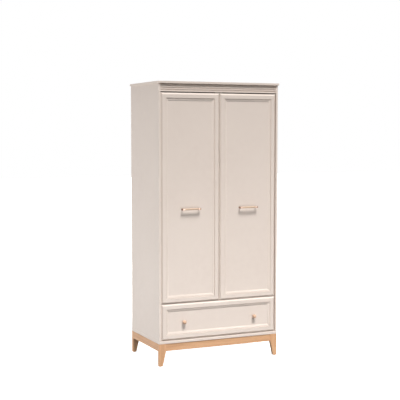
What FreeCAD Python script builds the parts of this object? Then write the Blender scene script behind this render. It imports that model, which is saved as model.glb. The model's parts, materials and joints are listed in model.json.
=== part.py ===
import FreeCAD, Part
import os
import re
import Sketcher

# Two-door wardrobe on an oak base, with a drawer under the doors.
# The frame has X to the viewer's right, Y to the back and Z up; its origin is on the floor,
# in the middle of the whole object's width and depth. Every size is in millimetres.

sizes = {
    # carcass
    "width": 1000,
    "side_deep": 583,
    "side_thick": 16,
    "bottom_thick": 22,
    "board_thick": 16,
    "cornice_thick": 16,
    "cornice_lip": 8,
    "back_thick": 3,
    "frieze_gap": 8,
    "frieze_high": 61,
    "frieze_setback": 5,
    "frieze_groove_high": 7,
    "frieze_groove_deep": 10,
    "reed_pitch": 14.8,
    "reed_cut": 5,
    "reed_cut_below": 4.8,
    "reed_cut_above": 2.2,
    "board_gap": 2,
    "hat_high": 335,
    "shelf_setback": 70,
    "shelf_play": 1,
    # base
    "glide_high": 3,
    "glide_radius": 9,
    "leg_high": 168,
    "leg_wide": 55,
    "leg_foot": 28,
    "leg_deep": 28,
    "apron_high": 55,
    "apron_thick": 18,
    "apron_setback": 5,
    "side_apron_thick": 20,
    "block_high": 45,
    "block_deep": 50,
    # fronts
    "front_gap": 3,
    "door_high": 1582,
    "drawer_face_high": 274,
    "front_thick": 20,
    "frame_wide": 64,
    "bevel_wide": 12,
    "bevel_deep": 10,
    "moulding_wide": 25,
    "step_deep": 4,
    "bead_wide": 19,
    "bead_deep": 8,
    "bead_radius": 40,
    "panel_recess": 10,
    "panel_thick": 6,
    "groove_deep": 9,
    "panel_play": 0.5,
    # handles and knobs
    "handle_long": 154,
    "handle_reach": 28,
    "handle_drop": 81,
    "post_spacing": 136,
    "post_radius": 5,
    "bar_radius": 6,
    "sleeve_radius": 7,
    "sleeve_long": 20,
    "sleeve_end": 3,
    "stud_radius": 2,
    "stud_play": 0.1,
    "foot_radius": 7,
    "foot_thick": 2,
    "nut_radius": 6,
    "nut_thick": 2,
    "knob_radius": 15,
    "knob_reach": 20,
    "knob_spacing": 594,
    "knob_drop": 6,
    "knob_stem_radius": 4.5,
    "spigot_radius": 2.5,
    "spigot_long": 8,
    # hinges
    "hinge_end": 110,
    "pin_inset": 16,
    "pin_back": 7,
    "pin_radius": 1.5,
    "pin_play": 0.05,
    "eye_radius": 3.2,
    "cup_inset": 22.5,
    "cup_radius": 17.5,
    "cup_deep": 12.5,
    "cup_floor": 1,
    "cup_wall": 3,
    "cup_slot": 8,
    "flange_thick": 1,
    "flange_half": 26,
    "flange_wide": 19,
    "arm_half": 6.5,
    "arm_thick": 2.5,
    "arm_reach": 42,
    "plate_thick": 2,
    "plate_half": 26,
    "plate_back": 8,
    # drawer box and runners
    "box_thick": 14,
    "box_end_gap": 63,
    "box_lift": 15,
    "box_high": 190,
    "box_bottom_thick": 4,
    "box_bottom_lift": 10,
    "box_groove": 6,
    "runner_gap": 13,
    "runner_end_gap": 59,
    "runner_start": 24,
    "runner_lift": 85,
    "runner_sheet": 1.5,
    "outer_half": 22.5,
    "middle_half": 18.5,
    "inner_half": 14.5,
    # inside
    "rail_radius": 12.5,
    "rail_wall": 1.5,
    "rail_drop": 60,
    "socket_radius": 17,
    "socket_long": 14,
    "socket_floor": 3,
    "socket_play": 0.1,
    "shelf_pin_radius": 2.5,
    "shelf_pin_in": 8,
    "shelf_pin_out": 10,
    "dowel_radius": 4,
    "dowel_long": 30,
    "dowel_in_board": 20,
    "dowel_margin": 70,
    "joiner_web": 2,
    "joiner_lip": 9,
    "joiner_skin": 1,
    "stop_half": 30,
    "stop_deep": 18,
    "stop_high": 14,
    "stop_gap": 0.5,
}

# Places that follow from the sizes. Y is counted from the carcass's front edge, Z from the floor.
formulas = {
    "half": "width / 2",
    "inner": "half - side_thick",
    "front_reach": "panel_recess - handle_reach - sleeve_radius",
    "back_reach": "side_deep + back_thick + joiner_skin",
    "shift": "-(front_reach + back_reach) / 2",
    "base_top": "glide_high + leg_high",
    "apron_low": "base_top - apron_high",
    "floor_top": "base_top + bottom_thick",
    "drawer_low": "floor_top + front_gap",
    "drawer_top": "drawer_low + drawer_face_high",
    "divider_top": "drawer_top + front_gap / 2",
    "divider_low": "divider_top - board_thick",
    "door_low": "drawer_top + front_gap",
    "door_top": "door_low + door_high",
    "frieze_low": "door_top + frieze_gap",
    "roof_low": "frieze_low",
    "carcass_top": "frieze_low + frieze_high",
    "board_front": "front_thick + board_gap",
    "frieze_thick": "board_front - frieze_setback",
    "door_edge": "inner - front_gap",
    "door_wide": "door_edge - front_gap / 2",
    "door_mid": "(door_edge + front_gap / 2) / 2",
    "handle_level": "door_low + door_high / 2 - handle_drop",
    "drawer_mid": "drawer_low + drawer_face_high / 2",
    "panel_margin": "frame_wide - groove_deep + panel_play",
    "shelf_low": "roof_low - hat_high - board_thick",
    "rail_level": "shelf_low - rail_drop",
    "rail_depth": "(shelf_setback + side_deep) / 2",
    "flat_end": "frame_wide - moulding_wide",
    "pin_side": "door_edge - pin_inset",
    "pin_depth": "front_thick - pin_back",
    "plate_start": "front_thick + plate_back",
    "arm_end": "front_thick + arm_reach",
    "box_side": "inner - runner_gap",
    "box_low": "floor_top + box_lift",
    "box_end": "side_deep - box_end_gap",
    "box_long": "box_end - front_thick",
    "runner_long": "side_deep - runner_start - runner_end_gap",
    "dowel_in_side": "dowel_long - dowel_in_board",
}

doc = FreeCAD.newDocument("Wardrobe")
sheet = doc.addObject("Spreadsheet::Sheet", "Sizes")
for row, (alias, value) in enumerate(sizes.items(), start=1):
    sheet.set(f"A{row}", alias)
    sheet.set(f"B{row}", str(value))
    sheet.setAlias(f"B{row}", alias)
doc.recompute()

subParts = []


def spell(text, sizeName):
    # writes a formula out in full, each size as sizeName gives it
    def word(match):
        name = match.group(0)
        if name in sizes:
            return sizeName(name)
        if name in formulas:
            return "(" + spell(formulas[name], sizeName) + ")"
        return name

    return re.sub(r"[a-z][a-z_]*", word, str(text))


def bound(text):
    return spell(text, lambda name: "Sizes." + name)


def number(text):
    full = spell(text, lambda name: str(sizes[name]))
    return FreeCAD.Units.Quantity(full).Value


def place(thing, at, turn=0, about=(0, 1, 0)):
    # stands a thing at a point given from the carcass's front edge, turned about one axis
    x, y, z = at
    thing.Placement = FreeCAD.Placement(FreeCAD.Vector(), FreeCAD.Rotation(FreeCAD.Vector(*about), turn))
    thing.setExpression("Placement.Base.x", bound(x))
    thing.setExpression("Placement.Base.y", bound(f"({y}) + shift"))
    thing.setExpression("Placement.Base.z", bound(z))
    return thing


def keep(thing):
    subParts.append(thing)
    return thing


def group(label, things):
    # several like pieces kept as one node of separate solids
    made = doc.addObject("Part::Compound", label)
    made.Links = things
    return keep(made)


def block(label, x, y, z):
    # a plain board between two values on each axis
    made = doc.addObject("Part::Box", label)
    for side, (low, high) in zip(("Length", "Width", "Height"), (x, y, z)):
        made.setExpression(side, bound(f"({high}) - ({low})"))
    return place(made, (x[0], y[0], z[0]))


def rod(label, radius, length, at, turn=0, about=(0, 1, 0)):
    made = doc.addObject("Part::Cylinder", label)
    made.setExpression("Radius", bound(radius))
    made.setExpression("Height", bound(length))
    return place(made, at, turn, about)


def body(label, at, turn=0, about=(0, 1, 0)):
    return place(doc.addObject("PartDesign::Body", label), at, turn, about)


def sketch(owner, role, lift="0"):
    # a sketch on one of the body's own origin planes, lifted along that plane's normal
    made = owner.newObject("Sketcher::SketchObject", "Outline")
    plane = next(item for item in owner.Origin.OriginFeatures if item.Role == role)
    made.AttachmentSupport = (plane, "")
    made.MapMode = "FlatFace"
    made.setExpression("AttachmentOffset.Base.z", bound(lift))
    return made


def fix(made, kind, values, text):
    index = made.addConstraint(Sketcher.Constraint(kind, *values, number(text)))
    made.setExpression(f"Constraints[{index}]", bound(text))


def outline(made, points, arcs=None):
    # a closed outline; arcs gives the radius of each side that is bowed, by its first point
    arcs = arcs or {}
    spots = [FreeCAD.Vector(number(x), number(y), 0) for x, y in points]
    first = made.GeometryCount
    for index, start in enumerate(spots):
        end = spots[(index + 1) % len(spots)]
        if index in arcs:
            half = (end - start) * 0.5
            away = FreeCAD.Vector(half.y, -half.x, 0).normalize()
            rise = number(arcs[index]) - (number(arcs[index]) ** 2 - half.Length ** 2) ** 0.5
            made.addGeometry(Part.Arc(start, start + half + away * rise, end))
        else:
            made.addGeometry(Part.LineSegment(start, end))
    ends = []
    for index in range(len(spots)):
        curve = made.Geometry[first + index]
        begins = curve.StartPoint.distanceToPoint(spots[index]) < 1e-4
        ends.append((1, 2) if begins else (2, 1))
    for index in range(len(spots)):
        after = (index + 1) % len(spots)
        pair = (first + index, ends[index][1], first + after, ends[after][0])
        made.addConstraint(Sketcher.Constraint("Coincident", *pair))
    for index, (x, y) in enumerate(points):
        fix(made, "DistanceX", (-1, 1, first + index, ends[index][0]), x)
        fix(made, "DistanceY", (-1, 1, first + index, ends[index][0]), y)
    for index, radius in arcs.items():
        fix(made, "Radius", (first + index,), radius)
    return made


def rounds(made, centres, radius):
    for x, y in centres:
        index = made.addGeometry(Part.Circle(FreeCAD.Vector(number(x), number(y), 0),
                                             FreeCAD.Vector(0, 0, 1), number(radius)))
        fix(made, "DistanceX", (-1, 1, index, 3), x)
        fix(made, "DistanceY", (-1, 1, index, 3), y)
        fix(made, "Radius", (index,), radius)
    return made


def rectangle(made, x, y):
    return outline(made, [(x[0], y[0]), (x[1], y[0]), (x[1], y[1]), (x[0], y[1])])


def pad(owner, profile, length, both=False, back=False):
    made = owner.newObject("PartDesign::Pad", "Pad")
    made.Profile = profile
    made.setExpression("Length", bound(length))
    made.SideType = "Symmetric" if both else "One side"
    made.Reversed = back
    profile.Visibility = False
    return made


def pocket(owner, profile, length=None, back=False):
    # a cut of the given depth, or right through both ways where no depth is given
    before = measured(owner)
    made = owner.newObject("PartDesign::Pocket", "Pocket")
    made.Profile = profile
    if length is None:
        made.Type = "ThroughAll"
        made.SideType = "Symmetric"
    else:
        made.setExpression("Length", bound(length))
    made.Reversed = back
    if measured(owner) > before - 0.5:
        raise ValueError(f"{owner.Label}: a pocket cuts nothing")
    return made


def measured(owner):
    doc.recompute()
    return owner.Shape.Volume


def turned(owner, profile, axis="H_Axis"):
    made = owner.newObject("PartDesign::Revolution", "Revolution")
    made.Profile = profile
    made.ReferenceAxis = (profile, [axis])
    made.Angle = 360
    return made


def mirrorTurn(side):
    # right-hand pieces are the left-hand ones turned half round, because they are alike up and down
    return 0 if side < 0 else 180


def makeLegs():
    backFace = "back_reach - leg_deep"
    for label, side, y in (("leg_front_left", -1, "0"), ("leg_front_right", 1, "0"),
                           ("leg_back_left", -1, backFace), ("leg_back_right", 1, backFace)):
        leg = body(label, (f"{side} * half", y, "glide_high"))
        shape = sketch(leg, "XZ_Plane")
        points = [("0", "0"), ("leg_foot", "0"), ("leg_wide", "leg_high - apron_high"),
                  ("leg_wide", "leg_high"), ("0", "leg_high")]
        outline(shape, [(f"{-side} * {x}", z) for x, z in points])
        pad(leg, shape, "leg_deep", back=True)
        keep(leg)


def makeGlides():
    glides = []
    for side in (-1, 1):
        for y in ("leg_deep / 2", "back_reach - leg_deep / 2"):
            at = (f"{side} * (half - leg_foot / 2)", y, "0")
            glides.append(rod("glide", "glide_radius", "glide_high", at))
    group("leg_glides", glides)


def makeAprons():
    between = ("-(half - leg_wide)", "half - leg_wide")
    level = ("apron_low", "base_top")
    keep(block("front_apron", between, ("apron_setback", "apron_setback + apron_thick"), level))
    backY = ("back_reach - apron_setback - apron_thick", "back_reach - apron_setback")
    keep(block("back_apron", between, backY, level))
    along = ("leg_deep", "back_reach - leg_deep")
    keep(block("side_apron_left", ("-half", "-half + side_apron_thick"), along, level))
    keep(block("side_apron_right", ("half - side_apron_thick", "half"), along, level))


def makeCornerBlocks():
    blocks = []
    for side in (-1, 1):
        for way, y in ((1, "leg_deep"), (-1, "back_reach - leg_deep")):
            piece = body("corner_block", (f"{side} * (half - side_apron_thick)", y, "base_top - block_high"))
            reach = f"{-side} * (leg_wide - side_apron_thick)"
            corner = [("0", "0"), (reach, "0"), ("0", f"{way} * block_deep")]
            pad(piece, outline(sketch(piece, "XY_Plane"), corner), "block_high")
            blocks.append(piece)
    group("corner_blocks", blocks)


dowelRows = ("dowel_margin", "side_deep - dowel_margin")


def drill(owner, role, lift, centres, radius, depth, back=False):
    pocket(owner, rounds(sketch(owner, role, lift), centres, radius), depth, back)


def makeSide(label, side):
    # stands on the bottom board; its outer face is at half the width
    panel = body(label, (f"{side} * half", "0", "floor_top"))
    flank = rectangle(sketch(panel, "YZ_Plane"), ("0", "side_deep"), ("0", "carcass_top - floor_top"))
    pad(panel, flank, "side_thick", back=side > 0)
    inward = -side
    face = f"{inward} * side_thick"
    levels = ("(divider_low + divider_top) / 2 - floor_top", "roof_low + board_thick / 2 - floor_top")
    holes = [(y, z) for y in dowelRows for z in levels]
    drill(panel, "YZ_Plane", face, holes, "dowel_radius", "dowel_in_side", back=side > 0)
    pins = [(y, "shelf_low - shelf_pin_radius - floor_top") for y in shelfPinRows]
    drill(panel, "YZ_Plane", face, pins, "shelf_pin_radius", "shelf_pin_in", back=side > 0)
    ends = [(f"{inward} * side_thick / 2", y) for y in dowelRows]
    drill(panel, "XY_Plane", "0", ends, "dowel_radius", "dowel_in_board", back=True)
    drill(panel, "XY_Plane", "carcass_top - floor_top", ends, "dowel_radius", "dowel_in_board")
    keep(panel)


def makeCrossBoard(label, low, front, back="side_deep", dowels=True, reach="inner"):
    # a board between the side panels, notched at the back for the joiner strip
    board = body(label, ("0", "0", low))
    notch = "joiner_lip + front_gap / 2"
    pad(board, outline(sketch(board, "XY_Plane"), [
        (f"-({reach})", front), (reach, front), (reach, back), (notch, back),
        (notch, f"{back} - 2 * joiner_skin"), (f"-({notch})", f"{back} - 2 * joiner_skin"),
        (f"-({notch})", back), (f"-({reach})", back)]), "board_thick")
    if dowels:
        holes = [(y, "board_thick / 2") for y in dowelRows]
        for side in (-1, 1):
            drill(board, "YZ_Plane", f"{side} * ({reach})", holes, "dowel_radius",
                  "dowel_in_board", back=side < 0)
    keep(board)


def makeEndBoards():
    ends = [(f"{side} * (half - side_thick / 2)", y) for side in (-1, 1) for y in dowelRows]
    floor = body("bottom_board", ("0", "0", "base_top"))
    pad(floor, rectangle(sketch(floor, "XY_Plane"), ("-half", "half"), ("0", "side_deep")), "bottom_thick")
    drill(floor, "XY_Plane", "bottom_thick", ends, "dowel_radius", "dowel_in_side")
    keep(floor)
    cornice = body("cornice_board", ("0", "0", "carcass_top"))
    reach = "half + cornice_lip"
    spread = rectangle(sketch(cornice, "XY_Plane"), (f"-({reach})", reach), ("-cornice_lip", "back_reach"))
    pad(cornice, spread, "cornice_thick")
    drill(cornice, "XY_Plane", "0", ends, "dowel_radius", "dowel_in_side", back=True)
    keep(cornice)


def makeFrieze():
    # three reeds run along its lower part, under a plain band; a groove parts the band from the cornice
    frieze = body("frieze_rail", ("0", "frieze_setback", "frieze_low"))
    points = [("0", "0")]
    for reed in range(1, 4):
        level = f"{reed} * reed_pitch"
        end, start = f"{level} - reed_cut_below", f"{level} + reed_cut_above"
        points += [("0", end), ("reed_cut", end), ("reed_cut", start), ("0", start)]
    groove = "frieze_high - frieze_groove_high"
    points += [("0", groove), ("frieze_groove_deep", groove), ("frieze_groove_deep", "frieze_high")]
    points += [("frieze_thick", "frieze_high"), ("frieze_thick", "0")]
    pad(frieze, outline(sketch(frieze, "YZ_Plane"), points), "2 * inner", both=True)
    keep(frieze)


def makeDowels():
    dowels = []
    for y in dowelRows:
        for level in ("(divider_low + divider_top) / 2", "roof_low + board_thick / 2"):
            dowels.append(rod("dowel", "dowel_radius", "dowel_long",
                              ("-(inner + dowel_in_side)", y, level), 90))
            dowels.append(rod("dowel", "dowel_radius", "dowel_long",
                              ("inner - dowel_in_board", y, level), 90))
        for side in (-1, 1):
            x = f"{side} * (half - side_thick / 2)"
            dowels.append(rod("dowel", "dowel_radius", "dowel_long", (x, y, "floor_top - dowel_in_side")))
            dowels.append(rod("dowel", "dowel_radius", "dowel_long", (x, y, "carcass_top - dowel_in_board")))
    group("carcass_dowels", dowels)


def makeBack():
    level = ("base_top + joiner_skin", "carcass_top - joiner_skin")
    depth = ("side_deep", "side_deep + back_thick")
    web = "joiner_web / 2"
    keep(block("back_panel_left", ("-(half - joiner_skin)", f"-({web})"), depth, level))
    keep(block("back_panel_right", (web, "half - joiner_skin"), depth, level))
    # the joiner strip is an H in section, its front lips in the boards' notches
    strip = body("back_joiner", ("0", "side_deep", "floor_top"))
    right = [("joiner_lip", "-joiner_skin"), ("joiner_lip", "0"), (web, "0"), (web, "back_thick"),
             ("joiner_lip", "back_thick"), ("joiner_lip", "back_thick + joiner_skin")]
    left = [(f"-({x})", y) for x, y in reversed(right)]
    pad(strip, outline(sketch(strip, "XY_Plane"), right + left), "carcass_top - joiner_skin - floor_top")
    keep(strip)


shelfPinRows = ("shelf_setback + 60", "side_deep - 60")


def makeShelfPins():
    pins = []
    for y in shelfPinRows:
        level = "shelf_low - shelf_pin_radius"
        length = "shelf_pin_in + shelf_pin_out"
        pins.append(rod("pin", "shelf_pin_radius", length, ("-(inner + shelf_pin_in)", y, level), 90))
        pins.append(rod("pin", "shelf_pin_radius", length, ("inner - shelf_pin_out", y, level), 90))
    group("shelf_pins", pins)


def makeRail():
    reach = "inner - socket_floor"
    start = (f"-({reach})", "rail_depth", "rail_level")
    outer = rod("rail_outside", "rail_radius", f"2 * ({reach})", start, 90)
    bore = rod("rail_bore", "rail_radius - rail_wall", f"2 * ({reach})", start, 90)
    rail = doc.addObject("Part::Cut", "hanging_rail")
    rail.Base = outer
    rail.Tool = bore
    keep(rail)
    sockets = []
    for side in (-1, 1):
        socket = body("socket", (f"{side} * inner", "rail_depth", "rail_level"), mirrorTurn(side))
        hole = "rail_radius + socket_play"
        wall = [("0", "0"), ("0", "socket_radius"), ("socket_long", "socket_radius"), ("socket_long", hole),
                ("socket_floor", hole), ("socket_floor", "0")]
        turned(socket, outline(sketch(socket, "XZ_Plane"), wall))
        sockets.append(socket)
    group("rail_sockets", sockets)


def makeStops():
    # the doors close against these two blocks, behind their meeting stiles
    front = "front_thick + stop_gap"
    depth = (front, f"{front} + stop_deep")
    span = ("-stop_half", "stop_half")
    group("door_stops", [block("stop", span, depth, ("divider_top", "divider_top + stop_high")),
                         block("stop", span, depth, ("door_top - stop_high", "roof_low"))])


def frontProfile():
    # section of a frame member: depth behind the front face, then distance from the outer edge
    bead = "flat_end + bead_wide"
    points = [("bevel_deep", "0"), ("0", "bevel_wide"), ("0", "flat_end"), ("step_deep", "flat_end + 1"),
              ("bead_deep", bead), ("panel_recess", "frame_wide"),
              ("panel_recess", "frame_wide - groove_deep"),
              ("panel_recess + panel_thick", "frame_wide - groove_deep"),
              ("panel_recess + panel_thick", "frame_wide"), ("front_thick", "frame_wide"),
              ("front_thick", "0")]
    return points, {3: "bead_radius"}


def member(label, length, at, turn, cups=()):
    # one mitred frame member, made lying along X with its outer edge down
    piece = body(label, at, turn)
    points, arcs = frontProfile()
    pad(piece, outline(sketch(piece, "YZ_Plane"), points, arcs), length, both=True)
    mitres = sketch(piece, "XZ_Plane")
    for side in (-1, 1):
        tip = f"{side} * (({length}) / 2 + 1)"
        root = f"{side} * (({length}) / 2 - frame_wide - 1)"
        outline(mitres, [(tip, "-1"), (tip, "frame_wide + 1"), (root, "frame_wide + 1")])
    pocket(piece, mitres)
    if cups:
        seats = [(x, "cup_inset") for x in cups]
        drill(piece, "XZ_Plane", "-front_thick", seats, "cup_radius", "cup_deep", back=True)
    keep(piece)


def frontFrame(names, centre, wide, low, high, cups=(), hingeSide=-1):
    # names: left stile, right stile, top rail, bottom rail
    left, right, top, bottom = names
    middle = f"{low} + ({high}) / 2"
    member(left, high, (f"{centre} - ({wide}) / 2", "0", middle), 90, cups if hingeSide < 0 else ())
    member(right, high, (f"{centre} + ({wide}) / 2", "0", middle), -90, cups if hingeSide > 0 else ())
    member(top, wide, (centre, "0", f"{low} + ({high})"), 180)
    member(bottom, wide, (centre, "0", low), 0)


def frontPanel(label, centre, wide, low, high, holes):
    # the thin panel in the frame's groove; holes are measured from its middle
    panel = body(label, (centre, "panel_recess", f"{low} + ({high}) / 2"))
    reach = f"(({wide}) / 2 - panel_margin)"
    rise = f"(({high}) / 2 - panel_margin)"
    face = rectangle(sketch(panel, "XZ_Plane"), (f"-{reach}", reach), (f"-{rise}", rise))
    pad(panel, face, "panel_thick", back=True)
    pocket(panel, rounds(sketch(panel, "XZ_Plane"), holes, "stud_radius + stud_play"))
    keep(panel)


hingeSpots = ("-(door_high / 2 - hinge_end)", "0", "door_high / 2 - hinge_end")


def makeDoor(name, side):
    centre = f"{side} * door_mid"
    stiles = ("hinge_stile", "meeting_stile") if side < 0 else ("meeting_stile", "hinge_stile")
    names = [f"{name}_{piece}" for piece in (*stiles, "door_top_rail", "door_bottom_rail")]
    frontFrame(names, centre, "door_wide", "door_low", "door_high", hingeSpots, side)
    holes = [(f"{way} * post_spacing / 2", "-handle_drop") for way in (-1, 1)]
    frontPanel(f"{name}_door_panel", centre, "door_wide", "door_low", "door_high", holes)
    makeHandle(name, centre)
    makeCups(name, side)


def makeHandle(name, centre):
    axis = "panel_recess - handle_reach"
    long = "handle_long - 2 * sleeve_end"
    start = (f"{centre} - ({long}) / 2", axis, "handle_level")
    keep(rod(f"{name}_handle_bar", "bar_radius", long, start, 90))
    posts = []
    for way in (-1, 1):
        at = (f"{centre} + ({way}) * post_spacing / 2", "panel_recess", "handle_level")
        post = body("handle_post", at)
        stem = [("0", "panel_thick + nut_thick"), ("nut_radius", "panel_thick + nut_thick"),
                ("nut_radius", "panel_thick"), ("stud_radius", "panel_thick"), ("stud_radius", "0"),
                ("foot_radius", "0"), ("foot_radius", "-foot_thick"), ("post_radius", "-foot_thick"),
                ("post_radius", "-handle_reach"), ("0", "-handle_reach")]
        turned(post, outline(sketch(post, "XY_Plane"), stem), "V_Axis")
        tip = f"{way} * (handle_long - post_spacing) / 2"
        sleeve = rounds(sketch(post, "YZ_Plane", tip), [("-handle_reach", "0")], "sleeve_radius")
        pad(post, sleeve, "sleeve_long", back=way > 0)
        seat = rounds(sketch(post, "YZ_Plane", f"{tip} - ({way}) * sleeve_end"), [("-handle_reach", "0")],
                      "bar_radius")
        pocket(post, seat, "sleeve_long", back=way < 0)
        posts.append(post)
    group(f"{name}_handle_posts", posts)


def makeCups(name, side):
    # a solid cup with a slot for the arm; its pin runs up through the slot's two cheeks
    cups = []
    pins = []
    for level in hingeSpots:
        height = f"door_low + door_high / 2 + ({level})"
        cup = body("hinge_cup", (f"{side} * pin_side", "front_thick", height), mirrorTurn(side))
        across = "cup_inset - pin_inset"
        pad(cup, rounds(sketch(cup, "XZ_Plane"), [(across, "0")], "cup_radius"), "cup_deep")
        ear = ("-flange_half", "flange_half")
        flange = sketch(cup, "XZ_Plane")
        rectangle(flange, (f"{across} - flange_wide / 2", f"{across} + flange_wide / 2"), ear)
        pad(cup, flange, "flange_thick", back=True)
        slot = sketch(cup, "XZ_Plane", "-flange_thick")
        rectangle(slot, (f"{across} - cup_radius + cup_wall", f"{across} + cup_radius - cup_wall"),
                  ("-cup_slot", "cup_slot"))
        pocket(cup, slot, "flange_thick + cup_deep - cup_floor", back=True)
        bore = rounds(sketch(cup, "XY_Plane"), [("0", "pin_depth - front_thick")], "pin_radius")
        hole = cup.newObject("PartDesign::Pocket", "Bore")
        hole.Profile = bore
        hole.setExpression("Length", bound("3 * cup_slot"))
        hole.SideType = "Symmetric"
        cups.append(cup)
        at = (f"{side} * pin_side", "pin_depth", f"{height} - 1.5 * cup_slot")
        pins.append(rod("hinge_pin", "pin_radius", "3 * cup_slot", at))
    group(f"{name}_hinge_cups", cups)
    group(f"{name}_hinge_pins", pins)


def makeArms():
    # the arm leaves the pin sideways, turns back round the door's edge and lies along its plate
    wall = "front_gap + pin_inset"
    near = f"-({wall}) + plate_thick"
    far = f"{near} + arm_thick"
    end = "arm_end - pin_depth"
    points = [("0", "-arm_thick / 2"), ("eye_radius", "-arm_thick / 2"), ("12.6", "3"), ("18.4", "11.5"),
              ("16", "21.6"), ("4", "26.2"), (far, "34"), (far, end), (near, end), (near, "31"),
              ("2.5", "23.6"), ("13.6", "19.6"), ("15.8", "12.2"), ("11.2", "5.4"),
              ("eye_radius", "arm_thick / 2"), ("0", "arm_thick / 2")]
    arms = []
    plates = []
    for side in (-1, 1):
        for level in hingeSpots:
            height = f"door_low + door_high / 2 + ({level})"
            arm = body("hinge_arm", (f"{side} * pin_side", "pin_depth", height), mirrorTurn(side))
            pad(arm, rounds(sketch(arm, "XY_Plane"), [("0", "0")], "eye_radius"), "2 * arm_half", both=True)
            pad(arm, outline(sketch(arm, "XY_Plane"), points), "2 * arm_half", both=True)
            pocket(arm, rounds(sketch(arm, "XY_Plane"), [("0", "0")], "pin_radius + pin_play"))
            arms.append(arm)
            base = ("-inner", "-inner + plate_thick") if side < 0 else ("inner - plate_thick", "inner")
            span = (f"{height} - plate_half", f"{height} + plate_half")
            plates.append(block("hinge_plate", base, ("plate_start", "arm_end"), span))
    group("hinge_arms", arms)
    group("hinge_plates", plates)


def makeDrawerFront():
    wide = "2 * door_edge"
    names = ("drawer_left_stile", "drawer_right_stile", "drawer_top_rail", "drawer_bottom_rail")
    frontFrame(names, "0", wide, "drawer_low", "drawer_face_high")
    holes = [(f"{way} * knob_spacing / 2", "-knob_drop") for way in (-1, 1)]
    frontPanel("drawer_front_panel", "0", wide, "drawer_low", "drawer_face_high", holes)
    knobs = []
    stems = []
    for way in (-1, 1):
        at = (f"{way} * knob_spacing / 2", "panel_recess", "drawer_mid - knob_drop")
        ball = doc.addObject("Part::Sphere", "ball")
        ball.setExpression("Radius", bound("knob_radius"))
        place(ball, (at[0], "panel_recess - knob_reach", at[2]))
        seat = "knob_reach - knob_radius + spigot_long"
        bore = rod("seat", "spigot_radius", seat, at, 90, (1, 0, 0))
        knob = doc.addObject("Part::Cut", "knob")
        knob.Base = ball
        knob.Tool = bore
        knobs.append(knob)
        stem = body("knob_stem", at)
        # the stem's shoulder stops where it meets the rim of the ball's seat
        rim = "(knob_reach - sqrt(knob_radius * knob_radius - spigot_radius * spigot_radius))"
        inside = f"-({seat})"
        shape = [("0", "panel_thick + nut_thick"), ("nut_radius", "panel_thick + nut_thick"),
                 ("nut_radius", "panel_thick"), ("stud_radius", "panel_thick"), ("stud_radius", "0"),
                 ("foot_radius", "0"), ("foot_radius", "-foot_thick / 2"),
                 ("knob_stem_radius", f"-{rim}"), ("spigot_radius", f"-{rim}"),
                 ("spigot_radius", inside), ("0", inside)]
        turned(stem, outline(sketch(stem, "XY_Plane"), shape), "V_Axis")
        stems.append(stem)
    group("drawer_knobs", knobs)
    group("knob_stems", stems)


def makeDrawerBox():
    low = "box_low"
    bottom = "box_low + box_bottom_lift"
    for label, side in (("drawer_side_left", -1), ("drawer_side_right", 1)):
        wall = body(label, (f"{side} * box_side", "front_thick", low))
        flank = rectangle(sketch(wall, "YZ_Plane"), ("0", "box_long"), ("0", "box_high"))
        pad(wall, flank, "box_thick", back=side > 0)
        groove = rectangle(sketch(wall, "YZ_Plane", f"{-side} * box_thick"), ("0", "box_long"),
                           ("box_bottom_lift", "box_bottom_lift + box_bottom_thick"))
        pocket(wall, groove, "box_groove", back=side > 0)
        keep(wall)
    clear = "box_side - box_thick"
    top = (f"{bottom} + box_bottom_thick", "box_low + box_high")
    keep(block("drawer_back", (f"-({clear})", clear), ("box_end - box_thick", "box_end"), top))
    reach = f"{clear} + box_groove"
    span = (f"-({reach})", reach)
    keep(block("drawer_bottom", span, ("front_thick", "box_end"), (bottom, f"{bottom} + box_bottom_thick")))


def runner(label, half, web, skin, lip):
    # a steel channel on each side, open one way: its web's back and face and its lips' edges
    # are counted from the side panel
    channels = []
    for side in (-1, 1):
        start = (f"{side} * inner", "runner_start", "box_low + runner_lift")
        channel = body(label, start, mirrorTurn(side), (0, 0, 1))
        points = [(web, f"-{half}"), (lip, f"-{half}"), (lip, f"-{half} + runner_sheet"),
                  (skin, f"-{half} + runner_sheet"), (skin, f"{half} - runner_sheet"),
                  (lip, f"{half} - runner_sheet"), (lip, half), (web, half)]
        # a channel on the right is turned half round about Z, so it runs the other way
        pad(channel, outline(sketch(channel, "XZ_Plane"), points), "runner_long", back=side < 0)
        channels.append(channel)
    return channels


def makeRunners():
    group("runner_cabinet_members", runner("outer_member", "outer_half", "0", "runner_sheet", "runner_gap - 5"))
    group("runner_middle_members", runner("middle_member", "middle_half", "3", "3 + runner_sheet", "runner_gap - 3"))
    group("runner_drawer_members", runner("inner_member", "inner_half", "runner_gap", "runner_gap - runner_sheet", "5.5"))


makeLegs()
makeGlides()
makeAprons()
makeCornerBlocks()
makeSide("side_panel_left", -1)
makeSide("side_panel_right", 1)
makeEndBoards()
makeCrossBoard("drawer_divider", "divider_low", "board_front")
makeCrossBoard("top_board", "roof_low", "board_front")
makeCrossBoard("hat_shelf", "shelf_low", "shelf_setback", "side_deep - shelf_play",
               dowels=False, reach="inner - shelf_play")
makeFrieze()
makeDowels()
makeBack()
makeShelfPins()
makeRail()
makeStops()
makeDoor("left", -1)
makeDoor("right", 1)
makeArms()
makeDrawerFront()
makeDrawerBox()
makeRunners()
doc.recompute()

for item in doc.Objects:
    if "Invalid" in item.State or "Error" in item.State:
        raise ValueError(f"{item.Label} failed: {item.State}")
for piece in subParts:
    if piece.Shape.isNull() or not piece.Shape.isValid():
        raise ValueError(f"{piece.Label} has no valid shape")

os.makedirs("parts", exist_ok=True)
for piece in subParts:
    piece.Shape.exportStep(f"parts/{piece.Label}.step")
print(len(subParts), "nodes")
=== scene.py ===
import json
import math

import bmesh
import bpy
from mathutils import Matrix, Vector


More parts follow.
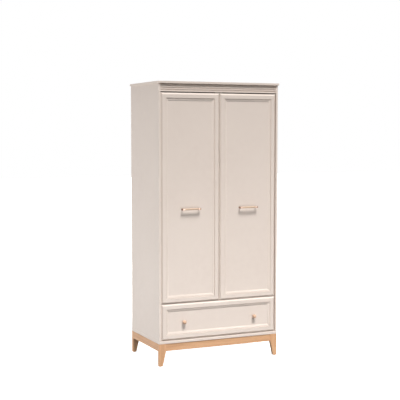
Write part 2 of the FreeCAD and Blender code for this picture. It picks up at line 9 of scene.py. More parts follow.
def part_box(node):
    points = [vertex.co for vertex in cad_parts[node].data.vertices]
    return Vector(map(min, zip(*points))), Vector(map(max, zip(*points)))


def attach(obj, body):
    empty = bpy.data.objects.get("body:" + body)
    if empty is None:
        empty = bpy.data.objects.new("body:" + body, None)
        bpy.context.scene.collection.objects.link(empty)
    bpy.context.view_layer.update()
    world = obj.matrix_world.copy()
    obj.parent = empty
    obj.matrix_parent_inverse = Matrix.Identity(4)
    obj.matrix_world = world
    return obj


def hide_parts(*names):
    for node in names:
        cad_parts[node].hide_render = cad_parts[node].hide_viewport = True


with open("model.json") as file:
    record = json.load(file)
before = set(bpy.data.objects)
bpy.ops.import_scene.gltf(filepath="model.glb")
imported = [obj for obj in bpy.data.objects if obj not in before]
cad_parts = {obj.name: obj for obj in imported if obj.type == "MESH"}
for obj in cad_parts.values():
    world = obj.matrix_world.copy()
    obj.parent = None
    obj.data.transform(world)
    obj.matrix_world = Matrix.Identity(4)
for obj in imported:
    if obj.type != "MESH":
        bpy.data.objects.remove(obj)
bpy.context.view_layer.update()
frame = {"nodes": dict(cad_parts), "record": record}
mm = 0.001
touching = 1e-6  # points closer than this are one point
print("frame loaded,", len(frame["nodes"]), "nodes")


def srgb(red, green, blue):
    # a colour as a paint chart gives it, 0 to 255
    shares = [value / 255 for value in (red, green, blue)]
    return tuple(s / 12.92 if s <= 0.04045 else ((s + 0.055) / 1.055) ** 2.4 for s in shares)


# Materials are node trees, measured in metres over each piece.

def newMaterial(name, roughness, metallic=0.0, specular=0.5):
    made = bpy.data.materials.new(name)
    made.use_nodes = True
    shader = made.node_tree.nodes["Principled BSDF"]
    shader.inputs["Roughness"].default_value = roughness
    shader.inputs["Metallic"].default_value = metallic
    shader.inputs["Specular IOR Level"].default_value = specular
    return made, shader


def addNode(made, kind, **settings):
    node = made.node_tree.nodes.new(kind)
    for key, value in settings.items():
        setattr(node, key, value)
    return node


def link(made, source, target):
    made.node_tree.links.new(source, target)


def spaceOf(made, scale=(1, 1, 1), turn=(0, 0, 0)):
    where = addNode(made, "ShaderNodeTexCoord")
    mapping = addNode(made, "ShaderNodeMapping")
    mapping.inputs["Scale"].default_value = scale
    mapping.inputs["Rotation"].default_value = [math.radians(angle) for angle in turn]
    link(made, where.outputs["Object"], mapping.inputs["Vector"])
    return mapping.outputs["Vector"]


def noise(made, space, scale, detail=2.0, roughness=0.5, distortion=0.0):
    node = addNode(made, "ShaderNodeTexNoise")
    settings = {"Scale": scale, "Detail": detail, "Roughness": roughness, "Distortion": distortion}
    for key, value in settings.items():
        node.inputs[key].default_value = value
    link(made, space, node.inputs["Vector"])
    return node.outputs["Fac"]


def ramp(made, value, stops):
    node = addNode(made, "ShaderNodeValToRGB")
    points = node.color_ramp.elements
    while len(points) < len(stops):
        points.new(0.5)
    for point, (place, colour) in zip(points, stops):
        point.position = place
        point.color = (*colour, 1)
    link(made, value, node.inputs["Fac"])
    return node.outputs["Color"]


def mix(made, first, second, amount):
    # inputs 6 and 7 of a mix node are its two colours, output 2 the mixed one
    node = addNode(made, "ShaderNodeMix", data_type="RGBA")
    for socket, value in ((node.inputs[6], first), (node.inputs[7], second), (node.inputs[0], amount)):
        if isinstance(value, bpy.types.NodeSocket):
            link(made, value, socket)
        else:
            socket.default_value = (*value, 1) if isinstance(value, tuple) else value
    return node.outputs[2]


def spread(made, value, low, high, start=0.3, end=0.7):
    # noise values from start to end become low to high
    node = addNode(made, "ShaderNodeMapRange")
    settings = {"From Min": start, "From Max": end, "To Min": low, "To Max": high}
    for key, number in settings.items():
        node.inputs[key].default_value = number
    link(made, value, node.inputs["Value"])
    return node.outputs["Result"]


def bump(made, shader, height, distance, before=None):
    node = addNode(made, "ShaderNodeBump")
    node.inputs["Distance"].default_value = distance
    link(made, height, node.inputs["Height"])
    if before is not None:
        link(made, before, node.inputs["Normal"])
    link(made, node.outputs["Normal"], shader.inputs["Normal"])
    return node.outputs["Normal"]


paintLook = {
    "base": srgb(226, 212, 201),
    "deep": srgb(221, 206, 195),
    "roughness": (0.38, 0.50),
    "driftScale": 1.9,
    "cloudScale": 23,
    "sheenScale": 60,
    "rollScale": 9,
    "rollDepth": 0.05 * mm,
    "sprayScale": 340,
    "sprayDepth": 0.010 * mm,
}


def paintedBoard(name, look):
    # sprayed satin paint: a slow drift of tone over a board, a fine spray texture, slightly uneven sheen
    low, high = look["roughness"]
    made, shader = newMaterial(name, low)
    space = spaceOf(made)
    drift = noise(made, space, look["driftScale"], 2)
    cloud = noise(made, space, look["cloudScale"], 3)
    tone = mix(made, look["deep"], look["base"], spread(made, drift, 0.0, 1.0))
    tone = mix(made, tone, look["base"], spread(made, cloud, 0.1, 0.7))
    link(made, tone, shader.inputs["Base Color"])
    sheen = noise(made, space, look["sheenScale"], 4)
    link(made, spread(made, sheen, low, high), shader.inputs["Roughness"])
    soft = bump(made, shader, noise(made, space, look["rollScale"], 1), look["rollDepth"])
    bump(made, shader, noise(made, space, look["sprayScale"], 2), look["sprayDepth"], soft)
    return made


oakLook = {
    "light": srgb(222, 176, 135),
    "mid": srgb(210, 160, 118),
    "dark": srgb(184, 134, 93),
    "pore": srgb(138, 94, 62),
    "ringScale": 46,
    "poreScale": 1100,
    "boardScale": 6,
    "drawnOut": 0.03,
    "skew": (2, 3, 1),
    "roughness": (0.44, 0.62),
    "poreDepth": 0.05 * mm,
}
barWoodLook = {
    **oakLook,
    "light": srgb(213, 185, 158),
    "mid": srgb(203, 173, 146),
    "dark": srgb(185, 152, 124),
    "pore": srgb(160, 126, 100),
}
knobWoodLook = {
    **oakLook,
    "light": srgb(219, 184, 156),
    "mid": srgb(210, 172, 143),
    "dark": srgb(192, 152, 123),
    "pore": srgb(168, 128, 100),
}
beechLook = {
    **oakLook,
    "light": srgb(222, 186, 148),
    "mid": srgb(208, 170, 132),
    "dark": srgb(190, 150, 114),
    "pore": srgb(150, 112, 82),
}


def drawnAlong(axis, share):
    # a scale that draws a pattern out along one axis
    return [share if name == axis else 1 for name in "XYZ"]


def straightGrain(name, look, along, fine=1.0):
    # quarter-sawn wood: growth lines, paler bands and dark pores, all drawn out along the board
    low, high = look["roughness"]
    made, shader = newMaterial(name, low, specular=0.4)
    space = spaceOf(made, drawnAlong(along, look["drawnOut"]), look["skew"])
    rings = noise(made, space, look["ringScale"] * fine, 5, 0.6, 0.35)
    bands = noise(made, space, look["ringScale"] * 5 * fine, 4, 0.65)
    pores = noise(made, space, look["poreScale"] * fine, 2, 0.6)
    patches = noise(made, spaceOf(made), look["boardScale"], 1)
    tone = ramp(made, rings, [(0.30, look["dark"]), (0.46, look["mid"]), (0.60, look["light"])])
    tone = mix(made, tone, look["mid"], spread(made, bands, 0.0, 0.7))
    tone = mix(made, tone, look["light"], spread(made, patches, 0.0, 0.35))
    tone = mix(made, tone, look["pore"], spread(made, pores, 0.0, 0.55, 0.58, 0.74))
    link(made, tone, shader.inputs["Base Color"])
    link(made, spread(made, bands, low, high), shader.inputs["Roughness"])
    first = bump(made, shader, bands, look["poreDepth"] / 2)
    bump(made, shader, pores, look["poreDepth"], first)
    return made


metalLook = {"lineScale": 1600, "lineDepth": 0.006 * mm, "patchScale": 85, "drawnOut": 0.02}


def metal(name, bright, dull, roughness, along):
    # bright and dull patches of one metal, with fine drawn lines along it
    look = metalLook
    made, shader = newMaterial(name, roughness, 1.0)
    lines = noise(made, spaceOf(made, drawnAlong(along, look["drawnOut"])), look["lineScale"], 3)
    patches = noise(made, spaceOf(made), look["patchScale"], 4, 0.6)
    tone = mix(made, dull, bright, spread(made, patches, 0.0, 1.0))
    tone = mix(made, tone, dull, spread(made, lines, 0.0, 0.35))
    link(made, tone, shader.inputs["Base Color"])
    link(made, spread(made, patches, roughness * 1.25, roughness * 0.8), shader.inputs["Roughness"])
    bump(made, shader, lines, look["lineDepth"])
    return made


plasticLook = {"cloudScale": 40, "sheenScale": 160, "sheen": 0.06, "skinScale": 1600, "skinDepth": 0.012 * mm}


def mouldedPlastic(name, light, dark, roughness):
    # cloudy tone and uneven sheen over a fine moulded skin
    look = plasticLook
    made, shader = newMaterial(name, roughness)
    space = spaceOf(made)
    cloud = noise(made, space, look["cloudScale"], 3)
    sheen = noise(made, space, look["sheenScale"], 2)
    skin = noise(made, space, look["skinScale"], 3, 0.7)
    link(made, mix(made, dark, light, spread(made, cloud, 0.0, 1.0)), shader.inputs["Base Color"])
    evenness = spread(made, sheen, roughness - look["sheen"], roughness + look["sheen"])
    link(made, evenness, shader.inputs["Roughness"])
    bump(made, shader, skin, look["skinDepth"])
    return made


fibreLook = {
    "dark": srgb(132, 98, 70),
    "mid": srgb(170, 131, 97),
    "light": srgb(196, 160, 125),
    "fleck": srgb(96, 66, 44),
    "pale": srgb(190, 154, 119),
    "deep": srgb(142, 106, 76),
    "fibreScale": 520,
    "fibreDepth": 0.08 * mm,
    "cloudScale": 4,
    "fleckScale": 190,
    "roughness": (0.72, 0.84),
}


def pressedFibre(name, look):
    # raw hardboard: matted fibres and darker flecks over the broad pale and deep clouds that pressing leaves
    low, high = look["roughness"]
    made, shader = newMaterial(name, low, specular=0.2)
    space = spaceOf(made)
    fibres = noise(made, space, look["fibreScale"], 5, 0.7, 1.5)
    cloud = noise(made, space, look["cloudScale"], 3)
    flecks = noise(made, space, look["fleckScale"], 2, 0.4, 2.0)
    tone = ramp(made, fibres, [(0.32, look["dark"]), (0.5, look["mid"]), (0.7, look["light"])])
    tone = mix(made, tone, look["pale"], spread(made, cloud, 0.0, 0.55, 0.5, 0.72))
    tone = mix(made, tone, look["deep"], spread(made, cloud, 0.5, 0.0, 0.3, 0.5))
    tone = mix(made, tone, look["fleck"], spread(made, flecks, 0.0, 0.5, 0.62, 0.75))
    link(made, tone, shader.inputs["Base Color"])
    link(made, spread(made, cloud, low, high), shader.inputs["Roughness"])
    bump(made, shader, fibres, look["fibreDepth"])
    return made


innerLook = {**paintLook, "base": srgb(224, 211, 201), "roughness": (0.5, 0.6)}
facedLook = {**paintLook, "base": srgb(228, 216, 206), "roughness": (0.52, 0.64)}
kit = {
    "paint": paintedBoard("cashmerePaint", paintLook),
    "inner": paintedBoard("innerMelamine", innerLook),
    "faced": paintedBoard("facedHardboard", facedLook),
    "oakX": straightGrain("oakAlongX", oakLook, "X"),
    "oakY": straightGrain("oakAlongY", oakLook, "Y"),
    "oakZ": straightGrain("oakAlongZ", oakLook, "Z"),
    "bar": straightGrain("barWood", barWoodLook, "X", 2.2),
    "knob": straightGrain("knobWood", knobWoodLook, "Y", 2.2),
    "beech": straightGrain("rawBeech", beechLook, "X", 1.8),
    # bronze: the tone of posts and stems, also put on the ferrule caps as painted shade
    "bronze": metal("agedBronzeAndCapShade", srgb(160, 134, 116), srgb(112, 88, 74), 0.45, "Y"),
    # copper: a pale tone on the ferrule sleeves, a painted highlight ring
    "copperHighlight": metal("brushedCopperHighlight", srgb(210, 184, 167), srgb(190, 162, 146), 0.42, "X"),
    "steel": metal("zincSteel", srgb(198, 200, 203), srgb(150, 153, 158), 0.32, "Y"),
    "nickel": metal("brightNickel", srgb(216, 214, 210), srgb(176, 174, 170), 0.18, "X"),
    "plastic": mouldedPlastic("whitePlastic", srgb(228, 222, 214), srgb(214, 207, 198), 0.42),
    "grey": mouldedPlastic("greyPlastic", srgb(120, 118, 116), srgb(98, 96, 94), 0.5),
    "raw": pressedFibre("rawHardboard", fibreLook),
}
print("materials made,", len(kit))


# Pieces are built as closed meshes, then given a body and their materials, and the imported nodes that they
# stand for are hidden.

def bodyOf(node):
    bodies = frame["record"]["behaviour"]["bodies"]
    return next(body for body, members in bodies.items() if node in members)


def finishPiece(bm, name, body, nodes, materials, crease=30):
    bmesh.ops.remove_doubles(bm, verts=bm.verts, dist=touching)
    bmesh.ops.dissolve_degenerate(bm, edges=bm.edges, dist=touching)
    bmesh.ops.recalc_face_normals(bm, faces=bm.faces)
    mesh = bpy.data.meshes.new(name)
    bm.to_mesh(mesh)
    bm.free()
    for material in materials:
        mesh.materials.append(material)
    mesh.polygons.foreach_set("use_smooth", [True] * len(mesh.polygons))
    mesh.set_sharp_from_angle(angle=math.radians(crease))
    piece = bpy.data.objects.new(name, mesh)
    bpy.context.scene.collection.objects.link(piece)
    # the flats are shaded flat beside their eased edges
    evened = piece.modifiers.new("evenShading", "WEIGHTED_NORMAL")
    evened.keep_sharp = True
    evened.weight = 100
    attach(piece, body)
    if nodes:
        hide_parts(*nodes)


def easedBlock(bm, low, high, ease, rounds):
    # a block with every edge eased by the same radius
    centre, size = (Vector(low) + Vector(high)) / 2, Vector(high) - Vector(low)
    made = bmesh.ops.create_cube(bm, size=1, matrix=Matrix.Translation(centre) @ Matrix.Diagonal((*size, 1)))
    edges = list({edge for vert in made["verts"] for edge in vert.link_edges})
    bmesh.ops.bevel(bm, geom=edges, offset=ease, segments=rounds, profile=0.5, affect="EDGES")


def turned(bm, outline, centre, axis, steps, finish=0):
    # turns (along, radius) points round an axis through centre; a radius of 0 closes an end
    turn = Vector((0, 0, 1)).rotation_difference(Vector(axis)).to_matrix()
    rings = []
    for along, radius in outline:
        count = steps if radius > 0 else 1
        angles = [2 * math.pi * step / count for step in range(count)]
        spots = [Vector((radius * math.cos(a), radius * math.sin(a), along)) for a in angles]
        rings.append([bm.verts.new(Vector(centre) + turn @ spot) for spot in spots])
    for lower, upper in zip(rings, rings[1:]):
        for step in range(steps):
            after = (step + 1) % steps
            if len(lower) == 1:
                face = bm.faces.new((lower[0], upper[after], upper[step]))
            elif len(upper) == 1:
                face = bm.faces.new((lower[step], lower[after], upper[0]))
            else:
                face = bm.faces.new((lower[step], lower[after], upper[after], upper[step]))
            face.material_index = finish


def roundedOutline(points, radii, steps=3):
    # swaps the corners of a closed outline that radii names for small arcs, unless they are nearly straight
    made = []
    for index, point in enumerate(points):
        here = Vector(point)
        toBefore = (Vector(points[index - 1]) - here).normalized()
        toAfter = (Vector(points[(index + 1) % len(points)]) - here).normalized()
        angle = toBefore.angle(toAfter)
        if index not in radii or angle > math.pi - 0.05:
            made.append(here)
            continue
        reach = radii[index] / math.tan(angle / 2)
        start, end = here + toBefore * reach, here + toAfter * reach
        hub = here + (toBefore + toAfter).normalized() * (radii[index] / math.sin(angle / 2))
        for step in range(steps + 1):
            made.append(hub + (start.lerp(end, step / steps) - hub).normalized() * radii[index])
    return made


def bar(bm, rings):
    # joins like rings of points into a closed bar with flat ends
    loops = [[bm.verts.new(spot) for spot in ring] for ring in rings]
    for lower, upper in zip(loops, loops[1:]):
        for index in range(len(lower)):
            after = (index + 1) % len(lower)
            bm.faces.new((lower[index], lower[after], upper[after], upper[index]))
    bm.faces.new(list(reversed(loops[0])))
    bm.faces.new(loops[-1])


# plain boards of the carcass and the drawer box, with eased edges
boardLook = {
    "painted": ["side_panel_left", "side_panel_right", "cornice_board"],
    "inner": ["top_board", "drawer_divider", "hat_shelf", "drawer_side_left", "drawer_side_right",
              "drawer_back"],
    "ease": 0.8 * mm,
    "bottomEase": 3 * mm,
    "innerEase": 0.5 * mm,
}


def board(node, material, ease):
    bm = bmesh.new()
    easedBlock(bm, *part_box(node), ease, 3)
    finishPiece(bm, node + "Board", bodyOf(node), [node], [material])


for node in boardLook["painted"]:
    board(node, kit["paint"], boardLook["ease"])
board("bottom_board", kit["paint"], boardLook["bottomEase"])
for node in boardLook["inner"]:
    board(node, kit["inner"], boardLook["innerEase"])


# back panels: faced inside, raw outside, nailed all round
backLook = {
    "ease": 0.3 * mm,
    "nailHead": 2.4 * mm,
    "nailProud": 0.4 * mm,
    "nailSunk": 0.6 * mm,
    "nailPitch": 125 * mm,
    "nailInset": 8 * mm,
    "joinerClear": 15 * mm,
}


def backPanel(node):
    bm = bmesh.new()
    easedBlock(bm, *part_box(node), backLook["ease"], 1)
    bmesh.ops.recalc_face_normals(bm, faces=bm.faces)
    for face in bm.faces:
        face.material_index = 0 if face.normal.y < -0.5 else 1
    finishPiece(bm, node + "Sheet", "carcass", [node], [kit["faced"], kit["raw"]])


def nailSpots(look):
    # down both sides, and across the bottom board, the divider and the top board, clear of the joiner strip
    low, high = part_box("side_panel_left")[0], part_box("side_panel_right")[1]
    inset = look["nailInset"]
    levels = [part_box(node)[0].z + inset for node in ("bottom_board", "drawer_divider", "top_board")]
    rows = round((high.z - levels[0]) / look["nailPitch"])
    columns = round((high.x - low.x) / look["nailPitch"])
    spots = []
    for row in range(rows + 1):
        z = levels[0] + (high.z - inset - levels[0]) * row / rows
        spots += [(low.x + inset, z), (high.x - inset, z)]
    across = [low.x + (high.x - low.x) * column / columns for column in range(1, columns)]
    for level in levels:
        spots += [(x, level) for x in across if abs(x) > look["joinerClear"]]
    return spots


def backNails():
    look = backLook
    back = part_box("back_panel_left")[1].y
    head, proud, sunk = look["nailHead"], look["nailProud"], look["nailSunk"]
    nail = [(-sunk, 0), (-sunk, head * 0.5), (0, head * 0.6), (0, head), (proud * 0.5, head * 0.94),
            (proud * 0.9, head * 0.6), (proud, 0)]
    bm = bmesh.new()
    for x, z in nailSpots(look):
        turned(bm, nail, (x, back, z), (0, 1, 0), 14)
    finishPiece(bm, "backNails", "carcass", [], [kit["steel"]])


backPanel("back_panel_left")
backPanel("back_panel_right")
backNails()
print("carcass boards made")


# frieze: reeds parted by square-cut grooves, a plain band over them and a deeper groove under the cornice
friezeLook = {
    "reeds": 3,
    "pitch": 14.8 * mm,
    "crown": 0.6 * mm,
    "cut": 5 * mm,
    "below": 4.8 * mm,
    "above": 2.2 * mm,
    "grooveHigh": 7 * mm,
    "grooveDeep": 10 * mm,
    "ease": 0.7 * mm,
}


def frieze():
    low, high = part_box("frieze_rail")
    look, face = friezeLook, low.y
    start, corners, outline = low.z, {}, [(high.y, low.z)]
    for reed in range(1, look["reeds"] + 1):
        groove = low.z + reed * look["pitch"]
        end = groove - look["below"]
        quarter, crown = (end - start) / 4, look["crown"]
        corners[len(outline)] = corners[len(outline) + 4] = look["ease"]
        outline += [(face + crown, start), (face + crown / 4, start + quarter), (face, (start + end) / 2),
                    (face + crown / 4, end - quarter), (face + crown, end)]
        start = groove + look["above"]
        outline += [(face + look["cut"], end), (face + look["cut"], start)]
    brow, floor = high.z - look["grooveHigh"], face + look["grooveDeep"]
    corners[len(outline)] = corners[len(outline) + 1] = look["ease"]
    outline += [(face, start), (face, brow), (floor, brow), (floor, high.z), (high.y, high.z)]
    bm = bmesh.new()
    bar(bm, [[Vector((x, y, z)) for y, z in roundedOutline(outline, corners)] for x in (low.x, high.x)])
    finishPiece(bm, "friezeBoard", "carcass", ["frieze_rail"], [kit["paint"]], 40)


frieze()


# framed fronts: mitred members round a thin panel
frontLook = {
    "bevelWide": 12 * mm,
    "bevelDeep": 10 * mm,
    "frameWide": 64 * mm,
    "mouldingWide": 25 * mm,
    "stepDeep": 4 * mm,
    "beadWide": 19 * mm,
    "beadDeep": 8 * mm,
    "beadRadius": 40 * mm,
    "beadSteps": 8,
    "quirkDeep": 2.5 * mm,
    "quirkWide": 3 * mm,
    "quirkRun": 0.8 * mm,
    "lipDrop": 0.4 * mm,
    "panelRecess": 10 * mm,
    "panelThick": 6 * mm,
    "grooveDeep": 9 * mm,
    "thick": 20 * mm,
    "ease": 0.6 * mm,
    "panelEase": 0.5 * mm,
    "mitreLine": 0.22 * mm,
}
fronts = {  # left, right, top and bottom members, then the panel
    "left_door": ["left_hinge_stile", "left_meeting_stile",
                  "left_door_top_rail", "left_door_bottom_rail", "left_door_panel"],
    "right_door": ["right_meeting_stile", "right_hinge_stile",
                   "right_door_top_rail", "right_door_bottom_rail", "right_door_panel"],
    "drawer": ["drawer_left_stile", "drawer_right_stile",
               "drawer_top_rail", "drawer_bottom_rail", "drawer_front_panel"],
}


def frontProfile(look):
    # (from the outer edge, behind the face) round a member's section: bevel, flat, quirk, bead, groove, back
    wide, thick, recess, run = look["frameWide"], look["thick"], look["panelRecess"], look["quirkRun"]
    flat = wide - look["mouldingWide"]
    foot = (flat + run, look["stepDeep"] + look["quirkDeep"])
    start = Vector((flat + look["quirkWide"], look["stepDeep"]))
    end = Vector((flat + look["beadWide"], look["beadDeep"]))
    lip = (flat + look["beadWide"] + run, recess - look["lipDrop"])
    chord, steps = end - start, look["beadSteps"]
    rise = look["beadRadius"] - math.sqrt(look["beadRadius"] ** 2 - (chord.length / 2) ** 2)
    outward = Vector((chord.y, -chord.x)).normalized()
    points = [(0, look["bevelDeep"]), (look["bevelWide"], 0), (flat, 0), foot]
    beadStart = len(points)
    for step in range(steps + 1):
        share = step / steps
        points.append(tuple(start + chord * share + outward * rise * 4 * share * (1 - share)))
    slot, inner = wide - look["grooveDeep"], recess + look["panelThick"]
    points += [lip, (wide, recess), (slot, recess), (slot, inner), (wide, inner), (wide, thick), (0, thick)]
    eased = (0, 2, beadStart, beadStart + steps, len(points) - 2, len(points) - 1)
    return roundedOutline(points, {**{corner: look["ease"] for corner in eased}, 1: look["ease"] * 2})


def frontMember(node, side, low, high, look, body):
    # follows one side of the front between low and high; the ends are mitred, with a hairline at the joint
    profile = frontProfile(look)
    heart = Vector((look["frameWide"] / 2, look["thick"] / 2))
    line = look["mitreLine"]
    rings = []
    for end, inset, shrink in ((0, 0, line), (0, line, 0), (1, line, 0), (1, 0, line)):
        ring = []
        for point in profile:
            across, depth = point + (heart - point).normalized() * shrink
            if side in ("top", "bottom"):
                x = low.x + across + inset if end == 0 else high.x - across - inset
                z = low.z + across if side == "bottom" else high.z - across
            else:
                z = low.z + across + inset if end == 0 else high.z - across - inset
                x = low.x + across if side == "left" else high.x - across
            ring.append(Vector((x, low.y + depth, z)))
        rings.append(ring)
    bm = bmesh.new()
    bar(bm, rings)
    finishPiece(bm, node + "Member", body, [node], [kit["paint"]], 22)


def framedFront(body, names):
    left, right, top, bottom, panel = names
    low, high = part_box(left)[0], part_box(right)[1]
    for side, node in (("left", left), ("right", right), ("top", top), ("bottom", bottom)):
        frontMember(node, side, low, high, frontLook, body)
    bm = bmesh.new()
    easedBlock(bm, *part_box(panel), frontLook["panelEase"], 2)
    finishPiece(bm, panel + "Sheet", body, [panel], [kit["paint"]])


for body, names in fronts.items():
    framedFront(body, names)
print("fronts made")


# oak base: tapered legs, aprons between them and a plastic glide under each foot
baseLook = {
    "foot": 28 * mm,
    "apronHigh": 55 * mm,
    "kneeRound": 14 * mm,
    "ease": 1.4 * mm,
    "footEase": 2.5 * mm,
    "apronEase": 0.7 * mm,
    "glideRadius": 9 * mm,
    "glideEase": 0.8 * mm,
}


def leg(node):
    # upright outside, tapered on the inside below the knee; the top stays sharp under the bottom board
    look = baseLook
    low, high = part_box(node)
    outer, inward = (low.x, 1) if low.x < 0 else (high.x, -1)
    wide, knee = high.x - low.x, high.z - look["apronHigh"]
    outline = [(0, low.z), (look["foot"], low.z), (wide, knee), (wide, high.z), (0, high.z)]
    outline = roundedOutline(outline, {0: look["footEase"], 1: look["footEase"], 2: look["kneeRound"]}, 6)
    bm = bmesh.new()
    bar(bm, [[Vector((outer + inward * x, y, z)) for x, z in outline] for y in (low.y, high.y)])
    rim = []
    for edge in bm.edges:
        first, second = [vert.co for vert in edge.verts]
        if abs(first.y - second.y) < touching and min(first.z, second.z) < high.z - touching * 10:
            rim.append(edge)
    bmesh.ops.bevel(bm, geom=rim, offset=look["ease"], segments=3, profile=0.5, affect="EDGES")
    finishPiece(bm, node + "Wood", "carcass", [node], [kit["oakZ"]])


def apron(node, material):
    bm = bmesh.new()
    easedBlock(bm, *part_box(node), baseLook["apronEase"], 3)
    finishPiece(bm, node + "Wood", "carcass", [node], [material])


def glides():
    low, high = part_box("leg_glides")
    tall, radius, ease = high.z - low.z, baseLook["glideRadius"], baseLook["glideEase"]
    outline = [(0, 0), (0, radius - ease), (0.3 * ease, radius - 0.3 * ease), (ease, radius), (tall, radius),
               (tall, 0)]
    bm = bmesh.new()
    for x in (low.x + radius, high.x - radius):
        for y in (low.y + radius, high.y - radius):
            turned(bm, outline, (x, y, low.z), (0, 0, 1), 32)
    finishPiece(bm, "legGlides", "carcass", ["leg_glides"], [kit["grey"]])


for node in ("leg_front_left", "leg_front_right", "leg_back_left", "leg_back_right"):
    leg(node)
for node in ("front_apron", "back_apron"):
    apron(node, kit["oakX"])
for node in ("side_apron_left", "side_apron_right"):
    apron(node, kit["oakY"])
glides()
print("base made")


# handles: a wooden bar seated in two capped ferrules on bronze posts; the caps' dark bronze is painted shade
# and the sleeves' pale copper a painted highlight
handleLook = {
    "postSpacing": 136 * mm,
    "reach": 28 * mm,
    "postRadius": 5 * mm,
    "waist": 0.5 * mm,
    "footRadius": 7 * mm,
    "footThick": 2 * mm,
    "nutRadius": 6 * mm,
    "nutThick": 2 * mm,
    "nutBore": 2.6 * mm,
    "ferruleRadius": 7 * mm,
    "ferruleLong": 20 * mm,
    "capLong": 8 * mm,
    "collarLong": 3 * mm,
    "barRadius": 6 * mm,
    "barSwell": 0.3 * mm,
    "ease": 0.4 * mm,
}


def postOutline(look):
    # along the post from the panel, then out from its axis
    foot, post, thick = look["footRadius"], look["postRadius"], look["footThick"]
    reach, ease = look["reach"], look["ease"]
    return [(0, 0), (0, foot - ease), (ease, foot), (thick - 0.5 * mm, foot), (thick, foot - 0.6 * mm),
            (thick + 0.6 * mm, post + 1 * mm), (thick + 2 * mm, post), (reach * 0.55, post - look["waist"]),
            (reach - 2 * mm, post), (reach, post), (reach, 0)]


def nutOutline(look):
    rim, bore, thick = look["nutRadius"], look["nutBore"], look["nutThick"]
    return [(0, 0), (0, rim), (thick * 0.6, rim), (thick, rim - 0.8 * mm), (thick, bore + 0.6 * mm),
            (thick * 0.5, bore), (thick * 0.5, 0)]


def capOutline(look):
    # the domed bronze end of a ferrule, its darker bronze painted shade on the end
    out, cap, ease = look["ferruleRadius"], look["capLong"], look["ease"]
    return [(0, 0), (0, out - 1.8 * mm), (0.5 * mm, out - 0.8 * mm), (1.6 * mm, out - 0.1 * mm),
            (2.6 * mm, out), (cap - ease, out), (cap, out - 0.5 * mm), (cap, 0)]


def ferruleOutline(look):
    # the copper sleeve behind the cap, a hair slimmer than it, with a collar at its open end; its pale tone
    # is a painted highlight ring
    out, seat, cap, long = look["ferruleRadius"], look["barRadius"], look["capLong"], look["ferruleLong"]
    slim, collar = out - 0.2 * mm, long - look["collarLong"]
    return [(cap, 0), (cap, out - 0.5 * mm), (cap + 0.5 * mm, slim), (collar, slim), (collar + 0.5 * mm, out),
            (long - 0.7 * mm, out), (long, out - 0.5 * mm), (long, seat), (cap, seat)]


def barOutline(look, span):
    # a round bar with eased ends, swelling a little to its middle
    radius, ease = look["barRadius"], look["ease"]
    points = [(0, 0), (0, radius - ease), (ease, radius)]
    for step in range(3, 14):
        share = step / 16
        points.append((span * share, radius + look["barSwell"] * math.sin(math.pi * share)))
    return points + [(span - ease, radius), (span, radius - ease), (span, 0)]


def handle(side):
    look, body = handleLook, side + "_door"
    low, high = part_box(side + "_handle_posts")
    panelLow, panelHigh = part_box(side + "_door_panel")
    centre = (low + high) / 2
    axisY = panelLow.y - look["reach"]
    bm = bmesh.new()
    for way in (-1, 1):
        x = centre.x + way * look["postSpacing"] / 2
        tip = (high.x if way > 0 else low.x, axisY, centre.z)
        turned(bm, postOutline(look), (x, panelLow.y, centre.z), (0, -1, 0), 36)
        turned(bm, nutOutline(look), (x, panelHigh.y, centre.z), (0, 1, 0), 24)
        turned(bm, capOutline(look), tip, (-way, 0, 0), 40)
        turned(bm, ferruleOutline(look), tip, (-way, 0, 0), 40, 1)
    # dark caps and pale sleeves: painted shade and painted highlight on the ferrule ends
    metals = [kit["bronze"], kit["copperHighlight"]]
    finishPiece(bm, side + "HandlePosts", body, [side + "_handle_posts"], metals, 40)
    start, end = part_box(side + "_handle_bar")
    bm = bmesh.new()
    turned(bm, barOutline(look, end.x - start.x), (start.x, axisY, centre.z), (1, 0, 0), 40)
    finishPiece(bm, side + "HandleBar", body, [side + "_handle_bar"], [kit["bar"]], 40)


handle("left")
handle("right")


# drawer knobs: turned wooden balls on slim bronze stems
knobLook = {
    "radius": 15 * mm,
    "seat": 4.5 * mm,
    "stemRadius": 4.5 * mm,
    "footRadius": 7 * mm,
    "nutRadius": 6 * mm,
    "nutThick": 2 * mm,
    "groove": 0.35 * mm,
    "grooveSteps": (11, 12),
    "steps": 30,
}


def ballOutline(look):
    # from the flat seat on the stem round to the front, with a fine turned line behind the widest part
    radius, steps = look["radius"], look["steps"]
    start = math.asin(look["seat"] / radius)
    points = [(-radius * math.cos(start), 0)]
    for step in range(steps):
        turn = start + (math.pi - start) * step / steps
        cut = look["groove"] if step in look["grooveSteps"] else 0
        points.append((-radius * math.cos(turn), radius * math.sin(turn) - cut))
    return points + [(radius, 0)]


def stemOutline(look, long):
    foot, stem = look["footRadius"], look["stemRadius"]
    return [(0, 0), (0, foot - 0.3 * mm), (0.3 * mm, foot), (1 * mm, foot), (1.4 * mm, foot - 0.5 * mm),
            (2.4 * mm, stem + 0.4 * mm), (3.6 * mm, stem - 0.6 * mm), (long - 0.5 * mm, stem - 0.3 * mm),
            (long, stem), (long, 0)]


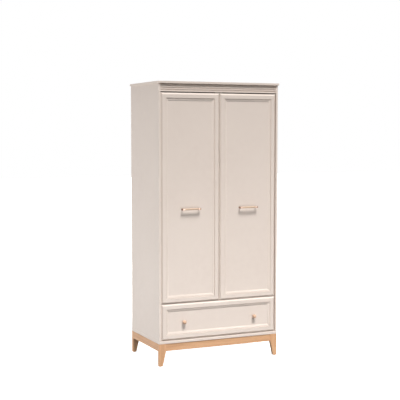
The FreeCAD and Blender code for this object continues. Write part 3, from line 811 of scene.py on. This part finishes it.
def knobs():
    look = knobLook
    low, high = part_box("drawer_knobs")
    panelLow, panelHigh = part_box("drawer_front_panel")
    radius, rim, thick = look["radius"], look["nutRadius"], look["nutThick"]
    level, ballY = (low.z + high.z) / 2, low.y + radius
    stem = stemOutline(look, panelLow.y - ballY - math.sqrt(radius ** 2 - look["seat"] ** 2))
    nut = [(0, 0), (0, rim), (1.3 * mm, rim), (thick, rim - 1 * mm), (thick, 0)]
    balls, stems = bmesh.new(), bmesh.new()
    for x in (low.x + radius, high.x - radius):
        turned(balls, ballOutline(look), (x, ballY, level), (0, -1, 0), 48)
        turned(stems, stem, (x, panelLow.y, level), (0, -1, 0), 36)
        turned(stems, nut, (x, panelHigh.y, level), (0, 1, 0), 24)
    finishPiece(balls, "drawerKnobBalls", "drawer", ["drawer_knobs"], [kit["knob"]], 50)
    finishPiece(stems, "drawerKnobStems", "drawer", ["knob_stems"], [kit["bronze"]], 40)


knobs()
print("handles and knobs made")


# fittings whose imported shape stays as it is
finishes = {
    "steel": ["hinge_arms", "hinge_plates", "left_hinge_pins", "right_hinge_pins", "runner_cabinet_members",
              "runner_middle_members", "runner_drawer_members"],
    "nickel": ["left_hinge_cups", "right_hinge_cups", "hanging_rail", "shelf_pins"],
    "plastic": ["rail_sockets", "door_stops", "back_joiner"],
    "beech": ["carcass_dowels", "corner_blocks"],
    "faced": ["drawer_bottom"],
}
for finish, nodes in finishes.items():
    for node in nodes:
        held = frame["nodes"][node]
        held.data.materials.clear()
        held.data.materials.append(kit[finish])
print("fittings finished")


# floor, light and camera
studio = {
    "floorTone": srgb(250, 250, 250),
    "floorShade": 0.97,
    "floorGlow": 0.93,
    "floorHalf": 30,
    "skyStrength": 1.0,
    "lampAim": (0, 0, 1.05),
    "cameraPlace": (-3.2477, -7.0864, 1.7564),
    "cameraTurn": (86.121, 0, -24.369),
    "lens": 89.087,
    "sensor": 36,
}
lamps = {
    "key": {"kind": "SUN", "place": (0, -3.05, 6.22), "power": 4.05, "spread": 22},
    "lowFront": {"kind": "AREA", "place": (0.4, -2.6, 0.12), "power": 24, "spread": 1.0},
    "lowLeft": {"kind": "AREA", "place": (-3.4, -0.1, 0.25), "power": 5, "spread": 1.2},
    "highLeft": {"kind": "AREA", "place": (-5.5, 0.2, 1.4), "power": 165, "spread": 2.5},
    "right": {"kind": "AREA", "place": (4.2, -2.4, 0.9), "power": 10, "spread": 2.0},
    "farRight": {"kind": "AREA", "place": (5.5, 1.4, 1.4), "power": 120, "spread": 2.5},
    "behind": {"kind": "AREA", "place": (0.8, 5.5, 1.6), "power": 130, "spread": 2.5},
}


def makeFloor():
    bm = bmesh.new()
    bmesh.ops.create_grid(bm, x_segments=1, y_segments=1, size=studio["floorHalf"])
    mesh = bpy.data.meshes.new("floor")
    bm.to_mesh(mesh)
    bm.free()
    made, shader = newMaterial("paleFloor", 0.8, specular=0.1)
    shade = tuple(part * studio["floorShade"] for part in studio["floorTone"])
    tone = mix(made, shade, studio["floorTone"], noise(made, spaceOf(made), 1.5, 2))
    link(made, tone, shader.inputs["Base Color"])
    shader.inputs["Emission Color"].default_value = (1, 1, 1, 1)
    shader.inputs["Emission Strength"].default_value = studio["floorGlow"]
    mesh.materials.append(made)
    floor = bpy.data.objects.new("floor", mesh)
    floor.visible_diffuse = False  # the glowing floor whitens the view but doesn't light the piece
    bpy.context.scene.collection.objects.link(floor)


def makeSky():
    world = bpy.data.worlds.new("studio")
    bpy.context.scene.world = world
    world.use_nodes = True
    sky = world.node_tree.nodes["Background"]
    sky.inputs["Color"].default_value = (1, 1, 1, 1)
    sky.inputs["Strength"].default_value = studio["skyStrength"]
    world.cycles_visibility.diffuse = False


def makeLamps():
    # spread is a sun's angle in degrees or an area lamp's width in metres
    aim = Vector(studio["lampAim"])
    for name, lamp in lamps.items():
        data = bpy.data.lights.new(name, lamp["kind"])
        data.energy = lamp["power"]
        if lamp["kind"] == "SUN":
            data.angle = math.radians(lamp["spread"])
        else:
            data.size = lamp["spread"]
        made = bpy.data.objects.new(name, data)
        made.location = lamp["place"]
        made.rotation_euler = (aim - made.location).to_track_quat("-Z", "Y").to_euler()
        bpy.context.scene.collection.objects.link(made)


def makeCamera():
    data = bpy.data.cameras.new("camera")
    data.lens = studio["lens"]
    data.sensor_width = studio["sensor"]
    made = bpy.data.objects.new("camera", data)
    made.location = studio["cameraPlace"]
    made.rotation_euler = [math.radians(turn) for turn in studio["cameraTurn"]]
    bpy.context.scene.collection.objects.link(made)
    bpy.context.scene.camera = made


makeFloor()
makeSky()
makeLamps()
makeCamera()
bpy.context.scene.view_settings.view_transform = "Standard"
print("stage set")
